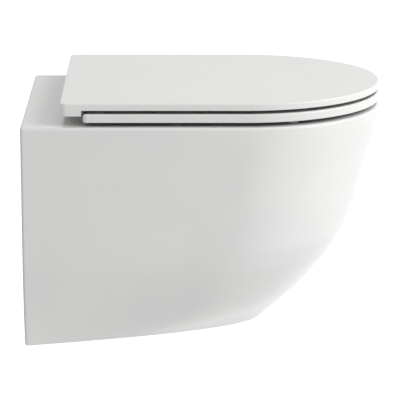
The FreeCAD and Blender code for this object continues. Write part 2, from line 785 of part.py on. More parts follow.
shank_hole = dim.shank_radius + dim.running_gap
gasket_profile = ring(shank_hole, dim.rosette_radius - 1, 0, dim.gasket_thickness)
turned("hinge_gaskets", gasket_profile, stud_spots)
rosette_profile = [
    (shank_hole, dim.gasket_thickness),
    (dim.rosette_radius, dim.gasket_thickness),
    (dim.rosette_radius, rosette_top - 1),
    (dim.rosette_radius - 1, rosette_top),
    (shank_hole, rosette_top),
]
turned("hinge_rosettes", rosette_profile, stud_spots)
plug_outer = dim.seat_hole_radius - dim.running_gap
plug_profile = [
    (shank_hole, -dim.plug_length),
    (plug_outer, -dim.plug_length),
    (plug_outer + dim.plug_bulge, dim.plug_taper - dim.plug_length),
    (plug_outer + dim.plug_bulge, -dim.deck_thickness - dim.plug_taper),
    (plug_outer, -dim.deck_thickness - 0.5),
    (plug_outer, 0),
    (shank_hole, 0),
]
turned("expanding_plugs", plug_profile, stud_spots)
captive_nuts = new_body("captive_nuts")
for side in SIDES.values():
    nut_spot = stud_spot(side, -dim.plug_length - dim.plug_nut_height)
    plug_nut = (dim.plug_nut_flats, shank_hole, dim.plug_nut_height)
    hexagon_nut(captive_nuts, "XY_Plane", nut_spot, *plug_nut)

# ---------------------------------------------------------------- hinge blocks
half_block = dim.block_width / 2
axis_y = -dim.axis_setback
axis_z = level(dim.axis_height)
block_bottom = collar_top - dim.axis_height
groove_mid = dim.groove_height + dim.groove_width / 2 - dim.axis_height
# how far pieces that belong together run into each other, or short of touching
OVERLAP = 0.1
# distances from the front face of the block
face_to_stud = dim.axis_setback + dim.block_front - dim.stud_setback
clip_end = face_to_stud - dim.clip_leg
clip_inside = dim.stud_neck_radius + dim.running_gap
clip_outside = clip_inside + 2 * dim.clip_wire_radius


def block_outline(sketch):
    """Side view of the block around the hinge axis: flat back, rounded head."""
    radius, back, front = dim.block_head_radius, dim.block_back, -dim.block_front
    edge_angle = math.acos(back.value / radius.value)
    head = Part.Circle(Vector(0, 0, 0), Vector(0, 0, 1), radius.value)
    arc = sketch.addGeometry(Part.ArcOfCircle(head, edge_angle, math.pi / 2), False)
    pin_point(sketch, arc, 3, (0, 0))
    held = sketch.addConstraint(Sketcher.Constraint("Radius", arc, radius.value))
    sketch.setExpression("Constraints[%d]" % held, radius.text)
    arc_start = Vector(back.value, radius.value * math.sin(edge_angle), 0)
    corners = [
        (0, radius),
        (front + dim.block_bevel, radius),
        (front, radius - dim.block_bevel),
        (front, block_bottom),
        (back, block_bottom),
    ]
    spots = [Vector(Size.of(u).value, Size.of(v).value, 0) for u, v in corners] + [arc_start]
    first = arc + 1
    for start, end in zip(spots, spots[1:]):
        sketch.addGeometry(Part.LineSegment(start, end), False)
    last = first + len(spots) - 2
    for step in range(first, last):
        sketch.addConstraint(Sketcher.Constraint("Coincident", step, 2, step + 1, 1))
    sketch.addConstraint(Sketcher.Constraint("Coincident", arc, 2, first, 1))
    sketch.addConstraint(Sketcher.Constraint("Coincident", last, 2, arc, 1))
    sketch.addConstraint(Sketcher.Constraint("PointOnObject", arc, 2, -2))
    for step, corner in enumerate(corners[1:], start=1):
        pin_point(sketch, first + step, 1, corner)
    sketch.addConstraint(Sketcher.Constraint("Vertical", last))


def hinge_block(name, side, square_outward):
    """A block with stud bore, clip slot, button pocket and two shaft holes."""
    body = new_body("hinge_block_" + name)
    middle = side * dim.hinge_pitch / 2
    sketch = sketch_on(body, "YZ_Plane", (middle - half_block, axis_y, axis_z))
    block_outline(sketch)
    raised(body, "Pad", sketch, dim.block_width)

    bore = sketch_on(body, "XY_Plane", stud_spot(side, collar_top))
    circle(bore, 0, 0, dim.stud_radius + dim.running_gap)
    raised(body, "Pocket", bore, dim.stud_height + dim.end_play - collar_top, True)

    face = axis_y - dim.block_front
    half_wide = dim.button_width / 2 + dim.button_play
    half_tall = dim.button_height / 2 + dim.button_play
    opening = sketch_on(body, "XZ_Plane", (middle, face, axis_z + groove_mid))
    rectangle(opening, -half_wide, -half_tall, half_wide, half_tall)
    raised(body, "Pocket", opening, dim.button_lip)
    # the chamber starts a little inside the lip, so that the two pockets join
    start = dim.button_lip - OVERLAP
    depth = dim.button_flange + dim.button_travel + dim.end_play
    half_chamber = half_wide + dim.button_flange
    chamber = sketch_on(body, "XZ_Plane", (middle, face + start, axis_z + groove_mid))
    rectangle(chamber, -half_chamber, -half_tall, half_chamber, half_tall)
    raised(body, "Pocket", chamber, depth)
    start = start + depth - OVERLAP
    half_slot = clip_outside + dim.clip_room
    half_high = dim.clip_wire_radius + dim.clip_head_room
    slot = sketch_on(body, "XZ_Plane", (middle, face + start, axis_z + groove_mid))
    rectangle(slot, -half_slot, -half_high, half_slot, half_high)
    raised(body, "Pocket", slot, face_to_stud - start + clip_outside + dim.end_play)

    for outward in (-1, 1):
        inner_end = middle + outward * (half_block - dim.pin_depth)
        low_end = inner_end if outward > 0 else inner_end - dim.pin_depth - 1
        hole = sketch_on(body, "YZ_Plane", (low_end, axis_y, axis_z))
        if outward == side * square_outward:
            half = dim.square_side / 2 + dim.running_gap
            rectangle(hole, -half, -half, half, half)
        else:
            circle(hole, 0, 0, dim.pin_radius + dim.running_gap)
        raised(body, "Pocket", hole, dim.pin_depth + 1, True)
    return body


# On the left the seat damper works outwards; on the right the lid damper works inwards.
hinge_block("left", -1, 1)
hinge_block("right", 1, -1)

half_pitch = dim.hinge_pitch / 2
pin_inside = half_block - dim.pin_depth + OVERLAP
outer_face = half_pitch + half_block
inner_face = half_pitch - half_block
axis_spot = (ZERO, axis_y, axis_z)

# Plain pins: the right one carries the seat, the left one carries the lid.
pins = new_body("hinge_pins")
seat_pin = rod(dim.pin_radius, half_pitch + pin_inside, outer_face + dim.bush_length)
lid_pin = rod(dim.pin_radius, pin_inside - half_pitch, dim.bush_length - inner_face)
add_turned(pins, seat_pin, [axis_spot], "X")
add_turned(pins, lid_pin, [axis_spot], "X")


def damper_shaft(label, block_end, block_face, barrel_end):
    """A damper shaft: a square end in the block and a round end in the barrel."""
    body = new_body(label)
    towards = 1 if barrel_end.value > block_end.value else -1
    low, high = (block_face, barrel_end) if towards > 0 else (barrel_end, block_face)
    add_turned(body, rod(dim.pin_radius, low, high, 0.2), [axis_spot], "X")
    start = block_end if towards > 0 else block_face
    sketch = sketch_on(body, "YZ_Plane", (start, axis_y, axis_z))
    half = dim.square_side / 2
    rectangle(sketch, -half, -half, half, half)
    raised(body, "Pad", sketch, dim.pin_depth - OVERLAP)


seat_shaft_end = -outer_face - dim.shaft_length
lid_shaft_end = inner_face - dim.shaft_length
damper_shaft("seat_damper_shaft", -half_pitch - pin_inside, -outer_face, seat_shaft_end)
damper_shaft("lid_damper_shaft", half_pitch - pin_inside, inner_face, lid_shaft_end)


def clip_wire(side):
    """A U of spring wire round the groove of a stud, open to the front."""
    reach = clip_inside.value + num.clip_wire_radius
    x = side * num.hinge_pitch / 2
    y = -num.stud_setback
    z = DECK + num.groove_height + num.groove_width / 2
    places = [(-reach, -num.clip_leg), (-reach, 0), (reach, 0), (reach, -num.clip_leg)]
    ends = [Vector(x + across, y + along, z) for across, along in places]
    path = Part.Wire(
        [
            Part.LineSegment(ends[0], ends[1]).toShape(),
            Part.Arc(ends[1], Vector(x, y + reach, z), ends[2]).toShape(),
            Part.LineSegment(ends[2], ends[3]).toShape(),
        ]
    )
    profile = Part.Wire(Part.makeCircle(num.clip_wire_radius, ends[0], Vector(0, 1, 0)))
    return path.makePipeShell([profile], True, False)


coded("latch_clips", Part.makeCompound([clip_wire(side) for side in SIDES.values()]))


def release_button(name, side):
    """A button with a retaining flange and a wedge between the legs of the clip."""
    body = new_body("release_button_" + name)
    face = axis_y - dim.block_front
    middle = axis_z + groove_mid
    half = dim.button_width / 2
    flange_end = dim.button_lip + dim.button_flange
    plan = sketch_on(body, "XY_Plane", (side * half_pitch, face, middle - dim.button_height / 2))
    polygon(
        plan,
        [
            (-half, -dim.button_proud),
            (half, -dim.button_proud),
            (half, dim.button_lip),
            (half + dim.button_flange, dim.button_lip),
            (half + dim.button_flange, flange_end),
            (-half - dim.button_flange, flange_end),
            (-half - dim.button_flange, dim.button_lip),
            (-half, dim.button_lip),
        ],
    )
    raised(body, "Pad", plan, dim.button_height)
    # the wedge's narrow end stands just between the legs of the clip
    thickness = dim.clip_wire_radius * 2.4
    narrow = clip_inside - OVERLAP
    wide = narrow + dim.clip_spread
    tip = clip_end + OVERLAP
    wedge = sketch_on(body, "XY_Plane", (side * half_pitch, face, middle - thickness / 2))
    root = flange_end - OVERLAP
    polygon(wedge, [(-wide, root), (wide, root), (narrow, tip), (-narrow, tip)])
    raised(body, "Pad", wedge, thickness)


for name, side in SIDES.items():
    release_button(name, side)

# ---------------------------------------------------------------- seat
AXIS = Vector(0, -num.axis_setback, DECK + num.axis_height)
COVER_HALF = num.cover_width / 2
OUTER_FACE = (num.hinge_pitch + num.block_width) / 2
INNER_FACE = (num.hinge_pitch - num.block_width) / 2
ARM_START = OUTER_FACE + num.side_gap
ARM_END = ARM_START + num.arm_width
SNUG = num.damper_radius + num.running_gap


def bumper_spots(inset, run):
    """Two pairs of places on the deck plan."""
    x = dim.cover_width / 2 - inset
    rear = run / 2 - dim.bumper_middle
    front = -run / 2 - dim.bumper_middle
    return [(-x, rear), (x, rear), (-x, front), (x, front)]


SEAT_BUMPERS = bumper_spots(dim.seat_bumper_inset, dim.seat_bumper_run)
LID_BUMPERS = bumper_spots(dim.lid_bumper_inset, dim.lid_bumper_run)


def stem_holes(shape, spots, radius, z):
    """Blind holes for the bumper stems, upwards from a level."""
    for x, y in spots:
        place = Vector(x.value, y.value, z)
        shape = shape.cut(Part.makeCylinder(radius, num.stem_length + num.end_play, place))
    return shape


def seat_arm():
    """The arm on the +X side that reaches from the ring to the hinge axis."""
    radius = num.block_head_radius
    upper, lower = math.radians(114), math.radians(224)
    reach = num.axis_setback - num.seat_rear - num.arm_overlap
    top = num.seat_top - num.axis_height - num.seat_top_radius
    bottom = num.seat_bottom - num.axis_height + num.arm_rise
    # distances from the hinge axis in the side view
    corners = [
        (radius * math.cos(upper), radius * math.sin(upper)),
        (reach, top),
        (reach, bottom),
        (radius * math.cos(lower), radius * math.sin(lower)),
    ]
    points = [AXIS + Vector(ARM_START, y, z) for y, z in corners]
    web = Part.Face(Part.makePolygon(points + points[:1])).extrude(Vector(num.arm_width, 0, 0))
    barrel = along_x(num.block_head_radius, ARM_START, ARM_END, AXIS.y, AXIS.z)
    return barrel.fuse(web)


def seat_ring():
    """The seat with its opening, two arms and the bores for damper and bush."""
    low, high = DECK + num.seat_bottom, DECK + num.seat_top
    shape = cover_plate(COVER_HALF, num.seat_rear, COVER_LENGTH, low, high)
    rear = -num.seat_rear - 1

    def upright(edge):
        return edge.BoundBox.ZLength > 5 and edge.BoundBox.YMax > rear

    shape = rounded(shape, num.seat_corner_radius, upright)
    shape = rounded(shape, num.seat_top_radius, lambda edge: flat_at(edge, high))
    shape = rounded(shape, num.seat_low_radius, lambda edge: flat_at(edge, low))
    hole_rear, hole_front = num.seat_hole_rear, COVER_LENGTH - num.seat_front
    middle = (hole_front + hole_rear) / 2
    opening = oval_wire(num.seat_hole_width / 2, hole_rear, hole_front, middle, low - 1)
    shape = shape.cut(Part.Face(opening).extrude(Vector(0, 0, high - low + 2)))

    def inner(edge, z):
        extent = edge.BoundBox
        return flat_at(edge, z) and extent.YMax < 1 - hole_rear and extent.YMin > -hole_front - 1

    shape = rounded(shape, num.seat_inner_radius, lambda edge: inner(edge, high))
    shape = rounded(shape, num.seat_low_radius + 0.5, lambda edge: inner(edge, low))
    for arm in both_sides(seat_arm()):
        shape = shape.fuse(arm)
    barrel_end = ARM_START + num.barrel_length + num.end_play
    bush_end = ARM_START + num.bush_length + 1
    shape = shape.cut(along_x(SNUG, 1 - ARM_START, -barrel_end, AXIS.y, AXIS.z))
    shape = shape.cut(along_x(SNUG, ARM_START - 1, bush_end, AXIS.y, AXIS.z))
    stem = num.seat_stem_radius + num.running_gap
    return stem_holes(shape, SEAT_BUMPERS, stem, low).removeSplitter()


coded("seat_ring", seat_ring())


def bumpers(label, radius, stem, low, high, spots):
    """Soft bumpers with stems pressed into the piece above."""
    profile = [
        (0, low),
        (radius - dim.bevel, low),
        (radius, low + dim.bevel),
        (radius, high),
        (stem, high),
        (stem, high + dim.stem_length),
        (0, high + dim.stem_length),
    ]
    turned(label, profile, [(x, y, dim.deck_height) for x, y in spots])


seat_bumper = (dim.seat_bumper_radius, dim.seat_stem_radius, 0, dim.seat_bottom)
bumpers("seat_bumpers", *seat_bumper, SEAT_BUMPERS)


def barrel_outline(mouth, closed_end):
    """A damper barrel with a blind bore for its shaft, as (radius, along)."""
    inward = 1 if closed_end.value > mouth.value else -1
    bore = dim.pin_radius + dim.running_gap
    bottom = mouth + inward * (dim.shaft_length + 1)
    return [
        (bore, mouth),
        (dim.damper_radius, mouth),
        (dim.damper_radius, closed_end),
        (0, closed_end),
        (0, bottom),
        (bore, bottom),
    ]


arm_start = outer_face + dim.side_gap + dim.barrel_play
lid_cheek = inner_face - dim.side_gap - dim.barrel_play
bush_bore = dim.pin_radius + dim.running_gap
seat_barrel = barrel_outline(-arm_start, -arm_start - dim.barrel_length)
turned("seat_damper_barrel", seat_barrel, [axis_spot], "X")
seat_bush = ring(bush_bore, dim.damper_radius, arm_start, arm_start + dim.bush_length)
turned("seat_hinge_bush", seat_bush, [axis_spot], "X")

# ---------------------------------------------------------------- lid
LID_CHEEK = INNER_FACE - num.side_gap


def lid_shell():
    """The lid: a shallow dish with a deeper rear part that wraps the hinge."""
    low, high = DECK + num.lid_bottom, DECK + num.lid_top
    drop = DECK + num.lid_drop_bottom
    under_skin = high - num.lid_skin
    rear, front = -num.lid_rear, -num.lid_drop_front
    shape = cover_plate(COVER_HALF, num.lid_rear, COVER_LENGTH, low, high)
    shape = shape.fuse(box(-COVER_HALF, COVER_HALF, rear, front, drop, low + 1)).removeSplitter()

    def upright(edge):
        return edge.BoundBox.ZLength > 5 and edge.BoundBox.YMax > rear - 1

    shape = rounded(shape, num.lid_corner_radius, upright)
    shape = rounded(shape, num.lid_edge_radius, lambda edge: flat_at(edge, high))
    shape = rounded(shape, num.side_gap, lambda edge: flat_at(edge, low))
    inset = COVER_HALF - num.lid_skirt
    dish = COVER_LENGTH - num.lid_skirt
    shape = shape.cut(cover_plate(inset, -front, dish, low - 1, under_skin))
    wall = rear - num.lid_rear_wall
    floor = drop - 1
    arm_side = ARM_END + num.side_gap
    cuts = [
        box(LID_CHEEK, arm_side, wall, front - 1, floor, under_skin),
        box(LID_CHEEK, ARM_START, rear + 1, wall - 1, floor, under_skin),
        box(arm_side + num.rib_width, inset, wall, front + num.lid_front_wall, floor, under_skin),
    ]
    for cut in cuts:
        for piece in both_sides(cut):
            shape = shape.cut(piece)
    core = num.core_width / 2
    shape = shape.cut(box(-core, core, wall, front + num.lid_front_wall, floor, under_skin))
    barrel_end = LID_CHEEK - num.barrel_length - num.end_play
    bush_end = num.bush_length + 1 - LID_CHEEK
    shape = shape.cut(along_x(SNUG, LID_CHEEK + 1, barrel_end, AXIS.y, AXIS.z))
    shape = shape.cut(along_x(SNUG, -LID_CHEEK - 1, bush_end, AXIS.y, AXIS.z))
    boss_low = DECK + num.boss_bottom
    for x, y in LID_BUMPERS:
        height = under_skin - boss_low
        place = Vector(x.value, y.value, boss_low)
        shape = shape.fuse(Part.makeCylinder(num.lid_bumper_radius, height, place))
    return stem_holes(shape, LID_BUMPERS, num.lid_stem_radius + num.running_gap, boss_low)


coded("lid_shell", lid_shell())
lid_bumper = (dim.lid_bumper_radius, dim.lid_stem_radius, dim.seat_top, dim.boss_bottom)
bumpers("lid_bumpers", *lid_bumper, LID_BUMPERS)
lid_barrel = barrel_outline(lid_cheek, lid_cheek - dim.barrel_length)
turned("lid_damper_barrel", lid_barrel, [axis_spot], "X")
lid_bush = ring(bush_bore, dim.damper_radius, -lid_cheek, dim.bush_length - lid_cheek)
turned("lid_hinge_bush", lid_bush, [axis_spot], "X")

# ---------------------------------------------------------------- check and write
doc.recompute()
nodes = [item for item in doc.Objects if item.TypeId in ("PartDesign::Body", "Part::Feature")]
for item in doc.Objects:
    if "Invalid" in item.State or "Error" in item.State:
        raise ValueError("not recomputed: " + item.Label + " " + str(item.State))
for node in nodes:
    if node.Shape.isNull() or not node.Shape.isValid():
        raise ValueError("bad shape: " + node.Label)
for node in nodes:
    node.Shape.exportStep("parts/" + node.Label + ".step")
    print(node.Label, len(node.Shape.Solids), round(node.Shape.Volume / 1000, 2))
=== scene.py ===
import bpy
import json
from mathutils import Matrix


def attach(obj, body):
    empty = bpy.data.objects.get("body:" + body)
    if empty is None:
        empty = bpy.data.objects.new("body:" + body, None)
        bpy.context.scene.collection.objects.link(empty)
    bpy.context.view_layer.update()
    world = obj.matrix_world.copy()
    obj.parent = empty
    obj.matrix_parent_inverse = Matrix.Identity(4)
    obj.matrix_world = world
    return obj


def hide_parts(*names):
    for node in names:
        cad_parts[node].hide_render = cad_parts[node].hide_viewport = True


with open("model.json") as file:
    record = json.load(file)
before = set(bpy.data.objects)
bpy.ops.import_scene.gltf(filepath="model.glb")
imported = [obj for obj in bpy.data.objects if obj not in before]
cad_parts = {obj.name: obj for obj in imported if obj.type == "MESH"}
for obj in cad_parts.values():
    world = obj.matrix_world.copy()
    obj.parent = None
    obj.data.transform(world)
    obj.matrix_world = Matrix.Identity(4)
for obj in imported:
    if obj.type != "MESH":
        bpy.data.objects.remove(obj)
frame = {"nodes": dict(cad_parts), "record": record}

"""Finishes and studio of a wall hung toilet with a soft-close seat and lid.

Metres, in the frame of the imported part: the wall is the plane y = 0, the toilet
hangs on its -Y side and up is +Z.
"""

import json
import logging
import math
from dataclasses import dataclass, field
from enum import Enum
from typing import Any, Sequence

import bpy
from mathutils import Vector

logging.basicConfig(level=logging.INFO, format="%(message)s")
log = logging.getLogger("toilet")

Colour = tuple[float, float, float]
Outline = Sequence[tuple[float, float]]
Spot = tuple[float, float, float]

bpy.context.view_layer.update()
MM = 0.001
WHITE: Colour = (1.0, 1.0, 1.0)
MERGE_WITHIN = 0.002 * MM
SMOOTH_BELOW = math.radians(32)
SHARP_ABOVE = math.radians(34)


# ---------------------------------------------------------------- shader maths
class Wave:
    """A node socket that can be used in sums, so that shader maths reads as maths."""

    def __init__(self, nodes: "Nodes", socket: Any) -> None:
        """Wrap an output socket of a node tree."""
        self.nodes = nodes
        self.socket = socket

    def _math(self, operation: str, *values: Any) -> "Wave":
        """Add a Math node.

        Args:
            operation: the node's operation.
            values: numbers or Waves, in the order of the node's sockets.

        Returns:
            The node's result.
        """
        return self.nodes.node("ShaderNodeMath", {"operation": operation}, dict(enumerate(values)))

    def __add__(self, other: Any) -> "Wave":
        """Sum."""
        return self._math("ADD", self, other)

    def __radd__(self, other: Any) -> "Wave":
        """Sum, reflected."""
        return self._math("ADD", other, self)

    def __sub__(self, other: Any) -> "Wave":
        """Difference."""
        return self._math("SUBTRACT", self, other)

    def __rsub__(self, other: Any) -> "Wave":
        """Difference, reflected."""
        return self._math("SUBTRACT", other, self)

    def __mul__(self, other: Any) -> "Wave":
        """Product."""
        return self._math("MULTIPLY", self, other)

    def __rmul__(self, other: Any) -> "Wave":
        """Product, reflected."""
        return self._math("MULTIPLY", other, self)

    def above(self, other: Any) -> "Wave":
        """The larger of two values."""
        return self._math("MAXIMUM", self, other)

    def step(self, start: float, end: float) -> "Wave":
        """A smooth step.

        Args:
            start: value at which the step is 0.
            end: value at which the step is 1.

        Returns:
            The step, 0 to 1.
        """
        settings = {"interpolation_type": "SMOOTHSTEP"}
        return self.nodes.node("ShaderNodeMapRange", settings, {"Value": self, 1: start, 2: end})


class Nodes:
    """A node tree, and the one way in which its nodes are made."""

    def __init__(self, tree: bpy.types.NodeTree) -> None:
        """Take a tree to add nodes to."""
        self.tree = tree

    def node(
        self, kind: str, settings: dict[str, Any], values: dict[Any, Any], output: str | int = 0
    ) -> Wave:
        """Add any node.

        Args:
            kind: the node's type.
            settings: properties of the node, set first.
            values: values or Waves by socket name or number.
            output: the output socket to return.

        Returns:
            The chosen output.
        """
        made = self.tree.nodes.new(kind)
        for key, value in settings.items():
            setattr(made, key, value)
        for key, value in values.items():
            self.feed(made.inputs[key], value)
        return Wave(self, made.outputs[output])

    def feed(self, socket: Any, value: Any) -> None:
        """Link a Wave to a socket, or set the socket to a plain value.

        Args:
            socket: an input of one of the tree's nodes.
            value: a Wave, a number, a vector, or a colour as three values.
        """
        if isinstance(value, Wave):
            self.tree.links.new(value.socket, socket)
        elif isinstance(value, tuple) and len(value) == 3 and len(socket.default_value) == 4:
            socket.default_value = (*value, 1.0)
        else:
            socket.default_value = value

    def seen(self) -> Wave:
        """Tell the rays that show a thing from those that light other things.

        Returns:
            1 for rays that show it directly, mirrored or through glass, and else 0.
        """
        camera, glossy, through = (
            self.node("ShaderNodeLightPath", {}, {}, f"Is {ray} Ray")
            for ray in ("Camera", "Glossy", "Transmission")
        )
        return camera.above(glossy).above(through)


class Shader(Nodes):
    """A material's node tree with a Principled shader at its end."""

    BEVEL_SAMPLES = 4
    SHADE_SAMPLES = 6
    SHUT_IN = 0.04

    def __init__(self, name: str) -> None:
        """Make the material and its Object coordinates.

        Args:
            name: the material's name.
        """
        self.material = bpy.data.materials.new(name)
        self.material.use_nodes = True
        super().__init__(self.material.node_tree)
        self.surface = self.tree.nodes["Principled BSDF"]
        self.place = self.node("ShaderNodeTexCoord", {}, {}, "Object")

    def set(self, **sockets: Any) -> None:
        """Set Principled sockets; an underscore in a name stands for a space."""
        for key, value in sockets.items():
            self.feed(self.surface.inputs[key.replace("_", " ")], value)

    def axis(self, letter: str) -> Wave:
        """One of the object coordinates."""
        return self.node("ShaderNodeSeparateXYZ", {}, {0: self.place}, letter)

    def noise(self, scale: float, detail: float, stretch: Sequence[float] = (1, 1, 1)) -> Wave:
        """Noise on the object coordinates.

        Args:
            scale: cells in a metre.
            detail: octaves.
            stretch: scale along each axis.

        Returns:
            Values around 0.5.
        """
        spot = self.node("ShaderNodeMapping", {}, {"Vector": self.place, "Scale": tuple(stretch)})
        values = {"Vector": spot, "Scale": scale, "Detail": detail}
        return self.node("ShaderNodeTexNoise", {}, values)

    def mix(self, factor: Any, first: Any, second: Any) -> Wave:
        """Mix two colours by a factor."""
        settings = {"data_type": "RGBA", "clamp_factor": True}
        return self.node("ShaderNodeMix", settings, {0: factor, 6: first, 7: second}, 2)

    def soft_edges(self, radius: float) -> Wave:
        """Normals that run softly over sharp edges, within a radius in metres."""
        settings = {"samples": self.BEVEL_SAMPLES}
        return self.node("ShaderNodeBevel", settings, {"Radius": radius}, "Normal")

    def painted_shade_mask(self, reach: float, open_from: float) -> Wave:
        """How enclosed the surface is by what lies near it, as a mask for shade painted into
        colours.

        Args:
            reach: how near, in metres.
            open_from: share of free directions from which it counts as open.

        Returns:
            0 where it is open, 1 where it is shut in.
        """
        # ambient occlusion used only as a mask for painted shade in base colours
        settings = {"samples": self.SHADE_SAMPLES}
        openness = self.node("ShaderNodeAmbientOcclusion", settings, {"Distance": reach}, "AO")
        return 1 - openness.step(self.SHUT_IN, open_from)

    def bump(self, height: Wave, distance: float, strength: float, under: Any = None) -> Wave:
        """A bump of the surface.

        Args:
            height: the bump, in shares of the distance.
            distance: its full height, in metres.
            strength: how far it counts, 0 to 1.
            under: normals that it lies on, if not the surface's own.

        Returns:
            The bumped normals.
        """
        values = {"Height": height, "Distance": distance, "Strength": strength}
        if under is not None:
            values["Normal"] = under
        return self.node("ShaderNodeBump", {}, values, "Normal")


def darker(colour: Colour, share: float) -> Colour:
    """A share of a colour."""
    return tuple(share * part for part in colour)


# ---------------------------------------------------------------- finishes
@dataclass(frozen=True)
class Glaze:
    """Fired white glaze, bare and matt where the pan meets the wall, with shade painted into its
    colour where nearby surfaces enclose it.

    Scales of its patterns are in cells to a metre.
    """

    colour: Colour = (0.835, 0.835, 0.82)
    pooled: Colour = (0.81, 0.815, 0.805)
    biscuit: Colour = (0.60, 0.585, 0.55)
    # colour of the shade painted into the glaze where nearby surfaces enclose it
    painted_shade_colour: Colour = (0.22, 0.22, 0.215)
    roughness: float = 0.13
    bare_roughness: float = 0.62
    gloss: float = 0.2
    bare_depth: float = 1.6 * MM
    bare_edge: float = 0.55
    biscuit_shade: float = 0.86
    shadow_reach: float = 12.0 * MM
    shadow_open: float = 0.26
    drift_scale: float = 9.0
    drift_height: float = 1.2 * MM
    ripple_scale: float = 420.0
    ripple_height: float = 0.05 * MM
    grain_scale: float = 1500.0

    def build(self, name: str) -> bpy.types.Material:
        """Make the material.

        Args:
            name: the material's name.

        Returns:
            The material.
        """
        shader = Shader(name)
        drift = shader.noise(self.drift_scale, 2.0)
        ripple = shader.noise(self.ripple_scale, 2.0)
        grain = shader.noise(self.grain_scale, 4.0)
        bare = shader.axis("Y").step(-self.bare_depth, -self.bare_edge * self.bare_depth)
        glazed = shader.mix(drift.step(0.35, 0.7), self.colour, self.pooled)
        # painted shade: the glaze colour darkens towards the painted shade colour where ambient
        # occlusion finds it enclosed
        shadow = shader.painted_shade_mask(self.shadow_reach, self.shadow_open)
        glazed = shader.mix(shadow, glazed, self.painted_shade_colour)
        bisque = shader.mix(grain, self.biscuit, darker(self.biscuit, self.biscuit_shade))
        waves = shader.bump(drift, self.drift_height, 0.10)
        shader.set(
            Base_Color=shader.mix(bare, glazed, bisque),
            Roughness=self.roughness + 0.05 * drift + 0.02 * ripple + bare * self.bare_roughness,
            IOR=1.52,
            Specular_IOR_Level=self.gloss,
            Normal=shader.bump(ripple + bare * grain, self.ripple_height, 0.25, waves),
        )
        return shader.material


@dataclass(frozen=True)
class MouldedPlastic:
    """A pressed or injection-moulded plastic with a faint orange peel, and optionally painted
    shade in its colour where nearby surfaces enclose it.

    Scales of its patterns are in cells to a metre, and its peel is in millimetres.
    """

    colour: Colour
    roughness: float
    peel: float = 0.03
    peel_scale: float = 900.0
    cloud_scale: float = 14.0
    cloud_shade: float = 0.975
    gloss: float = 0.5
    edge: float = 0.25 * MM
    # share by which painted shade darkens the colour where it is enclosed; 0 paints none
    shadow: float = 0.0
    shadow_reach: float = 12.0 * MM
    shadow_open: float = 0.62

    def build(self, name: str) -> bpy.types.Material:
        """Make the material.

        Args:
            name: the material's name.

        Returns:
            The material.
        """
        shader = Shader(name)
        cloud = shader.noise(self.cloud_scale, 2.0)
        peel = shader.noise(self.peel_scale, 2.0)
        clouded = darker(self.colour, self.cloud_shade)
        colour = shader.mix(cloud.step(0.3, 0.75), self.colour, clouded)
        if self.shadow > 0:
            # painted shade: darken the colour where ambient occlusion finds it enclosed
            painted_shade = shader.painted_shade_mask(self.shadow_reach, self.shadow_open)
            colour = shader.mix(painted_shade, colour, darker(self.colour, 1 - self.shadow))
        shader.set(
            Base_Color=colour,
            Roughness=self.roughness + 0.05 * cloud + 0.03 * peel,
            IOR=1.5,
            Specular_IOR_Level=self.gloss,
            Normal=shader.bump(peel, self.peel * MM, 0.3, shader.soft_edges(self.edge)),
        )
        return shader.material


@dataclass(frozen=True)
class Rubber:
    """Soft moulded rubber with a dusty bloom. Its scales are in cells to a metre."""

    colour: Colour
    bloom: Colour
    roughness: float = 0.62
    dust_scale: float = 260.0
    pore_scale: float = 2600.0
    pore_depth: float = 0.04 * MM

    def build(self, name: str) -> bpy.types.Material:
        """Make the material.

        Args:
            name: the material's name.

        Returns:
            The material.
        """
        shader = Shader(name)
        dust = shader.noise(self.dust_scale, 4.0)
        pores = shader.noise(self.pore_scale, 2.0)
        shader.set(
            Base_Color=shader.mix(dust.step(0.45, 0.8), self.colour, self.bloom),
            Roughness=self.roughness + 0.12 * dust,
            IOR=1.47,
            Normal=shader.bump(pores, self.pore_depth, 0.5),
        )
        return shader.material


class Lay(Enum):
    """Which way the fine scratches of a metal run, as a stretch of the noise."""

    TURNED = (1.0, 1.0, 30.0)
    POLISHED = (1.0, 1.0, 1.0)


@dataclass(frozen=True)
class Metal:
    """Bare or plated metal with fine tool marks, whose depth is in millimetres.

    Scales of its patterns are in cells to a metre.
    """

    colour: Colour
    roughness: float
    lay: Lay
    marks: float = 0.02
    mark_scale: float = 700.0
    smear_scale: float = 90.0
    smear_shade: float = 0.86
    edge: float = 0.2 * MM

    def build(self, name: str) -> bpy.types.Material:
        """Make the material.

        Args:
            name: the material's name.

        Returns:
            The material.
        """
        shader = Shader(name)
        marks = shader.noise(self.mark_scale, 3.0, self.lay.value)
        smears = shader.noise(self.smear_scale, 3.0)
        smeared = darker(self.colour, self.smear_shade)
        shader.set(
            Base_Color=shader.mix(smears.step(0.4, 0.8), self.colour, smeared),
            Metallic=1.0,
            Roughness=self.roughness + 0.08 * smears + 0.05 * marks,
            Normal=shader.bump(marks, self.marks * MM, 0.35, shader.soft_edges(self.edge)),
        )
        return shader.material


FINISHES = {
    "glazed_ceramic": Glaze(),
    # the seat plastic gets painted shade, nearly black, in the gaps between lid, seat and pan
    "seat_plastic": MouldedPlastic((0.83, 0.83, 0.815), 0.17, gloss=0.3, shadow=0.97),
    "bumper_rubber": Rubber((0.60, 0.60, 0.59), (0.68, 0.68, 0.67), 0.5),
    "seal_rubber": Rubber((0.018, 0.018, 0.02), (0.05, 0.05, 0.05)),
    "hinge_steel": Metal((0.62, 0.615, 0.60), 0.26, Lay.TURNED),
    "chrome": Metal((0.80, 0.81, 0.82), 0.05, Lay.POLISHED, 0.004),
    "hinge_plastic": MouldedPlastic((0.62, 0.62, 0.61), 0.34, 0.06),
    "damper_plastic": MouldedPlastic((0.035, 0.036, 0.04), 0.38, 0.06),
    "sleeve_plastic": MouldedPlastic((0.70, 0.70, 0.67), 0.42, 0.06),
}


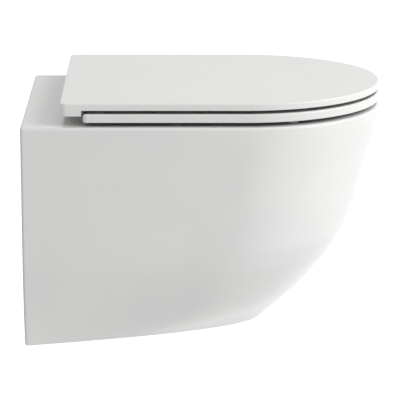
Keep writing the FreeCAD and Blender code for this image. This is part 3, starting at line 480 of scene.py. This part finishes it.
class Workbench:
    """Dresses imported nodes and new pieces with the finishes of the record's slots."""

    def __init__(self) -> None:
        """Make one material for each slot."""
        self.materials = {slot: finish.build(slot) for slot, finish in FINISHES.items()}

    def dress(self, piece: bpy.types.Object, slot: str) -> None:
        """Give a piece the finish of a slot and nothing else."""
        piece.data.materials.clear()
        piece.data.materials.append(self.materials[slot])

    def dress_nodes(self, record: dict[str, Any]) -> None:
        """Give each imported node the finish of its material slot.

        Args:
            record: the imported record, which names each node's slot.
        """
        for part in record["subparts"]:
            self.dress(frame["nodes"][part["node"]], part["material_slot"])
            log.info("%s: %s", part["node"], part["material_slot"])

    def hand_over(self, piece: bpy.types.Object, body: str, slot: str, node: str) -> None:
        """Dress a new piece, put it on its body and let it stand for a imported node.

        Args:
            piece: the finished piece.
            body: the body that carries it.
            slot: the record's material slot.
            node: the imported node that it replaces.
        """
        self.dress(piece, slot)
        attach(piece, body)
        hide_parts(node)
        log.info("%s: %s on %s, %d faces", piece.name, slot, body, len(piece.data.polygons))


# ---------------------------------------------------------------- shaping by hand
def nothing_selected() -> None:
    """Deselect every object."""
    bpy.ops.object.select_all(action="DESELECT")


def only_selected(piece: bpy.types.Object) -> None:
    """Select one piece and make it the active one."""
    nothing_selected()
    piece.select_set(True)
    bpy.context.view_layer.objects.active = piece


class Axis(Enum):
    """The axis that a turned piece is turned about."""

    Y = (0.0, 1.0, 0.0)
    Z = (0.0, 0.0, 1.0)


def offset(axis: Axis, radius: float, along: float) -> Vector:
    """The place at a radius and a distance along an axis, from a centre on it."""
    return Vector((radius, 0.0, 0.0)) + along * Vector(axis.value)


def single_point(name: str, centre: Spot) -> bpy.types.Object:
    """A plane merged to one vertex at the centre, left in edit mode.

    Args:
        name: the new object's name.
        centre: where it stands.

    Returns:
        The object.
    """
    nothing_selected()
    bpy.ops.mesh.primitive_plane_add(size=MM, location=centre)
    piece = bpy.context.object
    piece.name = name
    bpy.ops.object.mode_set(mode="EDIT")
    bpy.ops.mesh.select_mode(type="VERT")
    bpy.ops.mesh.select_all(action="SELECT")
    bpy.ops.mesh.merge(type="CENTER")
    bpy.ops.mesh.select_all(action="SELECT")
    return piece


def draw_outline(axis: Axis, outline: Outline) -> None:
    """Extrude the single selected vertex along an outline.

    Args:
        axis: the axis that the outline stands on.
        outline: (radius, along) in millimetres.
    """
    places = [offset(axis, radius * MM, along * MM) for radius, along in outline]
    bpy.ops.transform.translate(value=places[0])
    for last, place in zip(places, places[1:]):
        bpy.ops.mesh.extrude_region_move(TRANSFORM_OT_translate={"value": place - last})


def tidy_mesh() -> None:
    """Merge doubles, turn the faces outwards and leave edit mode."""
    bpy.ops.mesh.select_all(action="SELECT")
    bpy.ops.mesh.remove_doubles(threshold=MERGE_WITHIN)
    bpy.ops.mesh.normals_make_consistent(inside=False)
    bpy.ops.object.mode_set(mode="OBJECT")


def fix_place(piece: bpy.types.Object) -> None:
    """Put the piece's place in its mesh and shade it smooth between its edges.

    Args:
        piece: the piece.
    """
    only_selected(piece)
    bpy.ops.object.transform_apply(location=True, rotation=True, scale=True)
    bpy.ops.object.shade_smooth_by_angle(angle=SMOOTH_BELOW)


def turned(
    name: str,
    outline: Outline,
    centre: Spot,
    axis: Axis = Axis.Z,
    steps: int = 64,
    edge: float = 0.0,
) -> bpy.types.Object:
    """Turn an outline about an axis, as on a lathe.

    Args:
        name: the piece's name.
        outline: (radius, along) in millimetres; it starts and ends on the axis, or closes.
        centre: a place on the axis, in metres.
        axis: the axis.
        steps: faces around.
        edge: rounding of its sharp edges, in millimetres.

    Returns:
        The piece.
    """
    piece = single_point(name, centre)
    draw_outline(axis, outline)
    bpy.ops.mesh.select_all(action="SELECT")
    bpy.ops.mesh.spin(steps=steps, angle=2 * math.pi, center=centre, axis=axis.value)
    tidy_mesh()
    if edge > 0:
        rounded_edges(piece, edge)
    fix_place(piece)
    return piece


def rounded_edges(piece: bpy.types.Object, width: float) -> None:
    """Round the sharp edges of a piece.

    Args:
        piece: the piece.
        width: how far the rounding reaches, in millimetres.
    """
    bevel = piece.modifiers.new("edges", "BEVEL")
    bevel.width = width * MM
    bevel.segments = 2
    bevel.limit_method = "ANGLE"
    bevel.angle_limit = SHARP_ABOVE
    apply_modifiers(piece)


def apply_modifiers(piece: bpy.types.Object) -> None:
    """Apply all modifiers of a piece.

    Args:
        piece: the piece.
    """
    only_selected(piece)
    for modifier in list(piece.modifiers):
        bpy.ops.object.modifier_apply(modifier=modifier.name)


def carve(piece: bpy.types.Object, tool: bpy.types.Object, operation: str) -> None:
    """Cut a piece by another that is then thrown away.

    Args:
        piece: what stays.
        tool: what cuts.
        operation: DIFFERENCE or INTERSECT.
    """
    cut = piece.modifiers.new("carve", "BOOLEAN")
    cut.operation = operation
    cut.solver = "EXACT"
    cut.object = tool
    apply_modifiers(piece)
    bpy.data.objects.remove(tool)


def joined(name: str, pieces: Sequence[bpy.types.Object]) -> bpy.types.Object:
    """Make one piece of several.

    Args:
        name: the new piece's name.
        pieces: what it is made of.

    Returns:
        The piece.
    """
    nothing_selected()
    for piece in pieces:
        piece.select_set(True)
    bpy.context.view_layer.objects.active = pieces[0]
    bpy.ops.object.join()
    pieces[0].name = name
    return pieces[0]


def repeated(piece: bpy.types.Object, moves: Sequence[Spot]) -> bpy.types.Object:
    """Copy a piece to further places, each copy with its own mesh, and join them all.

    Args:
        piece: the modelled one.
        moves: distances of the copies from it, in metres.

    Returns:
        The joined piece.
    """
    everything = [piece]
    for move in moves:
        only_selected(piece)
        bpy.ops.object.duplicate()
        copy = bpy.context.object
        copy.location = move
        fix_place(copy)
        everything.append(copy)
    return joined(piece.name, everything)


@dataclass(frozen=True)
class Thread:
    """A screw thread, in millimetres, whose flanks are given in shares of its pitch."""

    radius: float
    pitch: float
    depth: float
    root_end: float = 0.15
    crest_start: float = 0.5
    crest_end: float = 0.65
    steps: int = 36

    def model(self, name: str, centre: Spot, low: float, high: float) -> bpy.types.Object:
        """Wind a zigzag outline upwards by one pitch a turn and close its ends.

        Args:
            name: the piece's name.
            centre: a place on its axis, in metres.
            low: where it starts along the axis.
            high: where it ends.

        Returns:
            The threaded rod.
        """
        turns = int((high - low) / self.pitch) - 1
        root = self.radius - self.depth
        outline = []
        for turn in range(turns):
            start = low + turn * self.pitch
            outline += [
                (root, start),
                (root, start + self.root_end * self.pitch),
                (self.radius, start + self.crest_start * self.pitch),
                (self.radius, start + self.crest_end * self.pitch),
            ]
        outline.append((root, low + turns * self.pitch))
        piece = single_point(name, centre)
        draw_outline(Axis.Z, outline)
        bpy.ops.object.mode_set(mode="OBJECT")
        screw = piece.modifiers.new("thread", "SCREW")
        screw.axis = Axis.Z.name
        screw.screw_offset = self.pitch * MM
        screw.steps = self.steps
        screw.render_steps = self.steps
        screw.use_merge_vertices = True
        screw.merge_threshold = MERGE_WITHIN
        apply_modifiers(piece)
        bpy.ops.object.mode_set(mode="EDIT")
        bpy.ops.mesh.select_all(action="SELECT")
        bpy.ops.mesh.remove_doubles(threshold=MERGE_WITHIN)
        bpy.ops.mesh.select_all(action="SELECT")
        bpy.ops.mesh.fill_holes(sides=0)
        tidy_mesh()
        fix_place(piece)
        return piece


@dataclass(frozen=True)
class HexagonNut:
    """A hexagon nut with chamfered corners and a countersunk bore, in millimetres.

    The bore is its radius, and face_share is how far the flat face reaches towards
    the flats.
    """

    flats: float
    bore: float
    height: float
    chamfer_degrees: float = 30.0
    face_share: float = 0.97
    spare: float = 0.2
    sink: float = 0.8
    edge: float = 0.15

    def model(self, name: str, centre: Spot, low: float, axis: Axis) -> bpy.types.Object:
        """Cut the nut from a six-sided bar.

        Args:
            name: the piece's name.
            centre: a place on its axis, in metres.
            low: its lower face along the axis.
            axis: its axis.

        Returns:
            The nut.
        """
        corner = self.flats / math.sqrt(3)
        place = Vector(centre) + (low + self.height / 2) * MM * Vector(axis.value)
        turn = (math.pi / 2, 0.0, 0.0) if axis is Axis.Y else (0.0, 0.0, 0.0)
        nothing_selected()
        bpy.ops.mesh.primitive_cylinder_add(
            vertices=6, radius=corner * MM, depth=self.height * MM, location=place, rotation=turn
        )
        nut = bpy.context.object
        nut.name = name
        carve(nut, turned("barrel", self.barrel(corner, low), centre, axis), "INTERSECT")
        carve(nut, turned("drill", self.drill(low), centre, axis), "DIFFERENCE")
        rounded_edges(nut, self.edge)
        fix_place(nut)
        return nut

    def barrel(self, corner: float, low: float) -> Outline:
        """The turned form inside which the bar's corners are kept.

        Args:
            corner: radius of the bar over its corners.
            low: its lower face along the axis.

        Returns:
            Its outline.
        """
        high = low + self.height
        face = self.face_share * self.flats / 2
        rim = corner + self.spare
        drop = (rim - face) * math.tan(math.radians(self.chamfer_degrees))
        return [
            (0, low),
            (face, low),
            (rim, low + drop),
            (rim, high - drop),
            (face, high),
            (0, high),
        ]

    def drill(self, low: float) -> Outline:
        """The bore and its two countersinks, longer than the nut at both ends.

        Args:
            low: the nut's lower face along the axis.

        Returns:
            Their outline.
        """
        high = low + self.height
        wide = self.bore + 2 * self.sink
        return [
            (0, low - self.sink),
            (wide, low - self.sink),
            (self.bore, low + self.sink),
            (self.bore, high - self.sink),
            (wide, high + self.sink),
            (0, high + self.sink),
        ]


# ---------------------------------------------------------------- sub-assemblies
@dataclass
class WallFixings:
    """Nuts and washers on the two rods that hold the pan to the wall."""

    pitch: float = 180.0
    sleeve_end: float = -67.0
    washer_radius: float = 14.5
    washer_bore: float = 6.5
    washer_thickness: float = 2.5
    washer_edge: float = 0.5
    nut: HexagonNut = HexagonNut(flats=19.0, bore=6.0, height=10.0)

    def pair(self, left: bpy.types.Object) -> bpy.types.Object:
        """Copy the left-hand piece to the right-hand rod."""
        return repeated(left, [(self.pitch * MM, 0.0, 0.0)])

    def build(self, bench: Workbench) -> None:
        """Turn a washer with rolled edges, cut a nut, copy both and hand them over.

        Args:
            bench: where pieces are dressed and handed over.
        """
        rod = (-self.pitch / 2 * MM, 0.0, 0.0)
        low = self.sleeve_end - self.washer_thickness
        ring = [
            (self.washer_bore, low),
            (self.washer_radius, low),
            (self.washer_radius, self.sleeve_end),
            (self.washer_bore, self.sleeve_end),
            (self.washer_bore, low),
        ]
        washers = self.pair(turned("wall_washers", ring, rod, Axis.Y, edge=self.washer_edge))
        bench.hand_over(washers, "pan", "hinge_steel", "wall_fixing_washers")
        nuts = self.pair(self.nut.model("wall_nuts", rod, low - self.nut.height, Axis.Y))
        bench.hand_over(nuts, "pan", "hinge_steel", "wall_fixing_nuts")


@dataclass
class FlushSeal:
    """The rubber seal in the flush inlet, with a lip for the pipe and three sealing ribs.

    Millimetres from the wall, the wall side being the higher; a rib's profile is how
    far from its foot it is fully raised, starts to fall and ends.
    """

    height: float = 35.0
    outside: float = 27.2
    wall: float = 2.5
    start: float = -38.0
    end_bevel: float = 0.6
    ribs: int = 3
    rib_height: float = 0.7
    first_rib: float = 4.0
    rib_spacing: float = 6.5
    rib_profile: Spot = (0.9, 1.5, 2.6)
    flange_radius: float = 30.6
    flange_start: float = -12.0
    flange_end: float = -9.0
    flange_edge: float = 0.4
    lip_radius: float = 22.6
    lip_end: float = -1.0
    lip_root: float = -10.0
    lip_edge: float = 0.5
    lip_bevel: float = 0.6
    neck: float = 0.8
    funnel: float = -13.0

    def outline(self) -> Outline:
        """The seal's section, from its inner end over the ribs to the lip.

        Returns:
            The section, closed.
        """
        body = self.outside - self.rib_height
        inside = self.outside - self.wall
        points = [
            (inside, self.start),
            (body - self.end_bevel, self.start),
            (body, self.start + self.end_bevel),
        ]
        raised, falling, ended = self.rib_profile
        for rib in range(self.ribs):
            foot = self.start + self.first_rib + self.rib_spacing * rib
            points += [
                (body, foot),
                (self.outside, foot + raised),
                (self.outside, foot + falling),
                (body, foot + ended),
            ]
        flange, edge = self.flange_radius, self.flange_edge
        lip = self.lip_radius + self.wall
        return points + [
            (body, self.flange_start),
            (flange - edge, self.flange_start),
            (flange, self.flange_start + edge),
            (flange, self.flange_end - edge),
            (flange - edge, self.flange_end),
            (lip + self.neck, self.flange_end),
            (lip, self.flange_end + self.neck),
            (lip, self.lip_end - self.lip_edge),
            (lip - self.lip_edge, self.lip_end),
            (self.lip_radius + self.lip_bevel, self.lip_end),
            (self.lip_radius, self.lip_end - self.lip_bevel),
            (self.lip_radius, self.lip_root),
            (inside, self.funnel),
            (inside, self.start),
        ]

    def build(self, bench: Workbench) -> None:
        """Turn the seal and hand it over.

        Args:
            bench: where pieces are dressed and handed over.
        """
        centre = (0.0, 0.0, self.height * MM)
        seal = turned("flush_seal", self.outline(), centre, Axis.Y, steps=96)
        bench.hand_over(seal, "pan", "seal_rubber", "flush_inlet_seal")


@dataclass
class SeatFixings:
    """Studs, cover plates, expanding plugs and captive nuts that hold the seat's hinge.

    Millimetres; heights are above the deck. A plug's crests are given in shares of the
    distance between its ribs.
    """

    pitch: float = 155.0
    setback: float = 79.0
    deck: float = 80.0
    thread: Thread = Thread(radius=4.0, pitch=1.25, depth=0.68)
    thread_top: float = 1.6
    nut: HexagonNut = HexagonNut(flats=13.0, bore=4.05, height=6.5)
    shank: float = 43.0
    bore: float = 4.05
    plug: float = 32.0
    plug_radius: float = 7.95
    plug_bulge: float = 2.0
    plug_bevel: float = 0.5
    plug_foot: float = 2.8
    rib: float = 2.6
    rib_groove: float = 0.9
    crest: tuple[float, float] = (0.35, 0.6)
    ribs_end: float = -16.9
    plug_neck: float = -14.5
    pin: Outline = (
        (0, 0.4),
        (3.4, 0.4),
        (3.9, 1.0),
        (3.9, 4.0),
        (6.6, 4.0),
        (7.0, 4.3),
        (7.0, 4.7),
        (6.6, 5.0),
        (3.8, 5.0),
        (3.5, 5.3),
        (3.5, 23.4),
        (3.3, 23.6),
        (2.2, 23.6),
        (2.2, 25.0),
        (3.3, 25.0),
        (3.5, 25.2),
        (3.5, 26.3),
        (3.2, 26.9),
        (2.5, 27.4),
        (1.2, 27.5),
        (0, 27.5),
    )
    plate: Outline = (
        (4.05, 1.0),
        (17.6, 1.0),
        (18.0, 1.4),
        (18.0, 2.4),
        (17.8, 3.0),
        (17.2, 3.5),
        (16.2, 3.85),
        (14.5, 4.0),
        (4.05, 4.0),
        (4.05, 1.0),
    )

    def centre(self, side: int) -> Spot:
        """Where a stud's axis meets the deck, on side -1 or 1."""
        return (side * self.pitch / 2 * MM, -self.setback * MM, self.deck * MM)

    def pair(self, left: bpy.types.Object) -> bpy.types.Object:
        """Copy the left-hand piece to the right-hand stud."""
        return repeated(left, [(self.pitch * MM, 0.0, 0.0)])

    def stud(self, name: str, side: int) -> bpy.types.Object:
        """A stud: thread below, collar on the cover plate, grooved pin above.

        Args:
            name: the piece's name.
            side: -1 or 1.

        Returns:
            The stud.
        """
        centre = self.centre(side)
        lower = self.thread.model(name, centre, -self.shank, self.thread_top)
        upper = turned(name + "_pin", self.pin, centre, steps=56)
        return joined(name, [lower, upper])

    def cover_plates(self) -> bpy.types.Object:
        """Domed round plates under the hinge blocks, turned once and copied."""
        return self.pair(turned("cover_plates", self.plate, self.centre(-1), steps=96))

    def plugs(self) -> bpy.types.Object:
        """Rubber plugs, ribbed where they grip the ceramic from below.

        Returns:
            Both plugs as one piece.
        """
        bulge = self.plug_radius + self.plug_bulge
        outline = [
            (self.bore, -self.plug),
            (self.plug_radius - self.plug_bevel, -self.plug),
            (self.plug_radius, self.plug_bevel - self.plug),
        ]
        rise, fall = self.crest
        groove = bulge - self.rib_groove
        low = self.plug_foot - self.plug
        while low + self.rib < self.ribs_end:
            outline += [
                (groove, low),
                (bulge, low + rise * self.rib),
                (bulge, low + fall * self.rib),
            ]
            low += self.rib
        outline += [
            (groove, low),
            (self.plug_radius, self.plug_neck),
            (self.plug_radius, 0.0),
            (self.bore, 0.0),
        ]
        outline.append(outline[0])
        return self.pair(turned("expanding_plug_pair", outline, self.centre(-1), steps=56))

    def nuts(self) -> bpy.types.Object:
        """Nuts under the plugs."""
        low = -self.plug - self.nut.height
        return self.pair(self.nut.model("plug_nuts", self.centre(-1), low, Axis.Z))

    def build(self, bench: Workbench) -> None:
        """Make all and hand them over.

        Args:
            bench: where pieces are dressed and handed over.
        """
        bench.hand_over(self.stud("stud_left", -1), "pan", "hinge_steel", "hinge_stud_left")
        bench.hand_over(self.stud("stud_right", 1), "pan", "hinge_steel", "hinge_stud_right")
        bench.hand_over(self.cover_plates(), "pan", "chrome", "hinge_rosettes")
        bench.hand_over(self.plugs(), "pan", "seal_rubber", "expanding_plugs")
        bench.hand_over(self.nuts(), "pan", "hinge_steel", "captive_nuts")


@dataclass
class Bumpers:
    """Four soft bumpers under the seat or the lid, in millimetres above the deck.

    The dish is the hollow in the foot, as (share of the radius, depth).
    """

    name: str
    node: str
    body: str
    radius: float
    stem: float
    low: float
    high: float
    inset: float
    run: float
    width: float = 347.0
    middle: float = 310.0
    deck: float = 80.0
    stem_length: float = 4.0
    stem_straight: float = 0.8
    stem_bevel: float = 0.5
    edge: float = 1.6
    edge_steps: int = 5
    dish: Outline = ((0, 0.5), (0.45, 0.4), (0.62, 0.05))

    def outline(self) -> Outline:
        """A dished foot with a round edge, and the stem above it.

        Returns:
            Their outline, from the axis back to it.
        """
        flat = self.radius - self.edge
        points = [(share * self.radius, self.low + depth) for share, depth in self.dish]
        points.append((flat, self.low))
        for step in range(1, self.edge_steps + 1):
            turn = math.pi / 2 * step / self.edge_steps
            rise = self.edge * (1 - math.cos(turn))
            points.append((flat + self.edge * math.sin(turn), self.low + rise))
        return points + [
            (self.radius, self.high),
            (self.stem, self.high),
            (self.stem, self.high + self.stem_straight * self.stem_length),
            (self.stem - self.stem_bevel, self.high + self.stem_length),
            (0, self.high + self.stem_length),
        ]

    def build(self, bench: Workbench) -> None:
        """Turn one bumper, copy it to the other corners and hand them over.

        Args:
            bench: where pieces are dressed and handed over.
        """
        x = (self.width / 2 - self.inset) * MM
        rear = (self.run / 2 - self.middle) * MM
        bumper = turned(self.name, self.outline(), (-x, rear, self.deck * MM), steps=48)
        run = self.run * MM
        feet = repeated(bumper, [(2 * x, 0.0, 0.0), (0.0, -run, 0.0), (2 * x, -run, 0.0)])
        bench.hand_over(feet, self.body, "bumper_rubber", self.node)


SEAT_BUMPERS = Bumpers(
    "seat_feet",
    "seat_bumpers",
    "seat",
    radius=9.0,
    stem=3.0,
    low=0.0,
    high=6.0,
    inset=32.5,
    run=170.0,
)
LID_BUMPERS = Bumpers(
    "lid_feet",
    "lid_bumpers",
    "lid",
    radius=6.0,
    stem=2.5,
    low=19.0,
    high=25.0,
    inset=37.5,
    run=160.0,
)


# ---------------------------------------------------------------- studio
def place(x: float, y: float, z: float) -> Any:
    """A dataclass field that holds a place, in metres."""
    return field(default_factory=lambda: Vector((x, y, z)))


@dataclass
class Studio:
    """White surroundings, a pale floor far below, a soft lamp and the camera."""

    sky: float = 0.52
    floor_height: float = -1.05
    floor_size: float = 60.0
    floor_colours: tuple[Colour, Colour] = ((0.82, 0.82, 0.82), (0.84, 0.84, 0.84))
    floor_speckle: float = 3.0
    floor_glow: float = 0.62
    lamp_place: Vector = place(-1.18, -2.95, 1.84)
    lamp_aim: Vector = place(0.0, -0.26, -0.05)
    lamp_size: float = 2.4
    lamp_power: float = 80.0
    camera_place: Vector = place(-3.7307, -0.2597, 0.9365)
    tilt_down: float = 0.264989
    lens: float = 227.96
    sensor: float = 36.0
    sight: float = 200.0

    def white_world(self) -> None:
        """An even white sky whose light on the object is weaker than it looks."""
        world = bpy.data.worlds.new("sky")
        world.use_nodes = True
        bpy.context.scene.world = world
        sky = Nodes(world.node_tree)
        sky.tree.nodes.remove(sky.tree.nodes["Background"])
        lit, shown = (
            sky.node("ShaderNodeBackground", {}, {"Color": WHITE, "Strength": strength})
            for strength in (self.sky, 1.0)
        )
        light = sky.node("ShaderNodeMixShader", {}, {0: sky.seen(), 1: lit, 2: shown})
        sky.feed(sky.tree.nodes["World Output"].inputs["Surface"], light)

    def floor(self) -> None:
        """A large pale floor that keeps shadows but looks white where it is fully lit."""
        nothing_selected()
        centre = (0.0, 0.0, self.floor_height)
        bpy.ops.mesh.primitive_plane_add(size=self.floor_size, location=centre)
        plane = bpy.context.object
        plane.name = "floor"
        shader = Shader("floor")
        shader.set(
            Base_Color=shader.mix(shader.noise(self.floor_speckle, 2.0), *self.floor_colours),
            Roughness=0.9,
            Emission_Color=WHITE,
            Emission_Strength=shader.seen() * self.floor_glow,
        )
        plane.data.materials.append(shader.material)

    def lamp(self) -> None:
        """A large soft lamp in front of the toilet, above it and to its left."""
        data = bpy.data.lights.new("front_lamp", "AREA")
        data.size = self.lamp_size
        data.energy = self.lamp_power
        lamp = bpy.data.objects.new("front_lamp", data)
        bpy.context.scene.collection.objects.link(lamp)
        lamp.location = self.lamp_place
        aim = self.lamp_aim - self.lamp_place
        lamp.rotation_euler = aim.to_track_quat("-Z", "Y").to_euler()

    def camera(self) -> None:
        """The camera at the photograph's angle."""
        data = bpy.data.cameras.new("camera")
        data.lens = self.lens
        data.sensor_width = self.sensor
        data.clip_end = self.sight
        camera = bpy.data.objects.new("camera", data)
        bpy.context.scene.collection.objects.link(camera)
        camera.location = self.camera_place
        camera.rotation_euler = (math.pi / 2 - self.tilt_down, 0.0, -math.pi / 2)
        bpy.context.scene.camera = camera

    def build(self) -> None:
        """Make the whole studio."""
        self.white_world()
        self.floor()
        self.lamp()
        self.camera()
        bpy.context.scene.view_settings.view_transform = "Standard"
        log.info("studio: floor, lamp and camera")


def main() -> None:
    """Dress the part, model its small pieces and set up the studio."""
    bench = Workbench()
    bench.dress_nodes(frame["record"])
    for assembly in (WallFixings(), FlushSeal(), SeatFixings(), SEAT_BUMPERS, LID_BUMPERS):
        assembly.build(bench)
    Studio().build()


if __name__ == "__main__":
    main()
